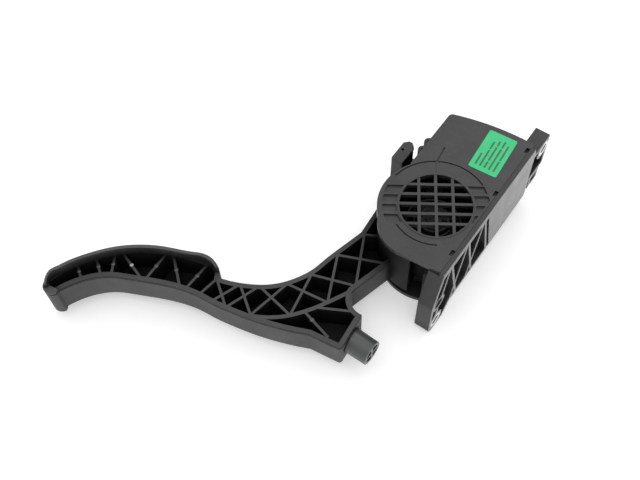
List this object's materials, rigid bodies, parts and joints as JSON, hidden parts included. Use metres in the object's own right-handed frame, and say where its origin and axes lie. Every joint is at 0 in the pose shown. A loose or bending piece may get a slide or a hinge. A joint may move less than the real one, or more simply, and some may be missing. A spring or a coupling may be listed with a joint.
{
  "type": "accelerator pedal",
  "caption": "Hanging accelerator pedal: lattice-ribbed moulded arm with a curved foot plate, sprung hub under a round grille, sensor chamber and a bolt-on mounting plate.",
  "frame": {"origin": "on the mounting face, level with the pivot axis and the middle of the pedal arm", "axes": "+X out of the mounting face, +Y up the car when fitted, +Z along the pivot axis, up as it lies here"},
  "size_m": [0.1966, 0.25, 0.0614],
  "materials": {
    "housing_plastic": "moulded matt",
    "cover_plastic": "moulded matt",
    "arm_plastic": "moulded matt",
    "socket_plastic": "moulded matt",
    "peg_plastic": "moulded matt",
    "bush_plastic": "moulded satin",
    "label_green": "printed film",
    "board": "solder mask",
    "chip": "moulded matt",
    "friction": "pressed matt",
    "rubber": "moulded matt",
    "steel": "turned and plated",
    "spring_steel": "oiled wire",
    "pin_metal": "plated",
    "bronze": "sintered",
    "magnet": "nickel plated"
  },
  "bodies": {
    "housing": {"bracket": "housing_plastic", "cover": "cover_plastic", "label": "label_green", "sensor_seal": "rubber", "sensor_board": "board", "hall_sensors": "chip", "connector_socket": "socket_plastic", "connector_pins": "pin_metal", "upper_bolt_sleeve": "steel", "lower_bolt_sleeve": "steel", "pivot_shaft": "steel", "lower_thrust_washer": "bush_plastic", "upper_thrust_washer": "bush_plastic", "retaining_ring": "steel", "friction_ring": "friction", "rest_bumper": "rubber", "full_travel_bumper": "rubber", "outer_return_spring": "spring_steel", "inner_return_spring": "spring_steel"},
    "pedal": {"pedal_arm": "arm_plastic", "stop_peg": "peg_plastic", "lower_bush": "bronze", "upper_bush": "bronze", "spring_sleeve": "bush_plastic", "magnet_carrier": "arm_plastic", "magnet": "magnet"}
  },
  "joints": [
    {"name": "pedal_pivot", "type": "hinge", "parent": "housing", "child": "pedal", "pos_m": [-0.0279, 0, 0], "axis": [0, 0, 1], "range_deg": [0, 15], "stiffness_Nm_per_rad": 12, "springref_deg": -14.32, "deforming": ["outer_return_spring", "inner_return_spring"]}
  ]
}
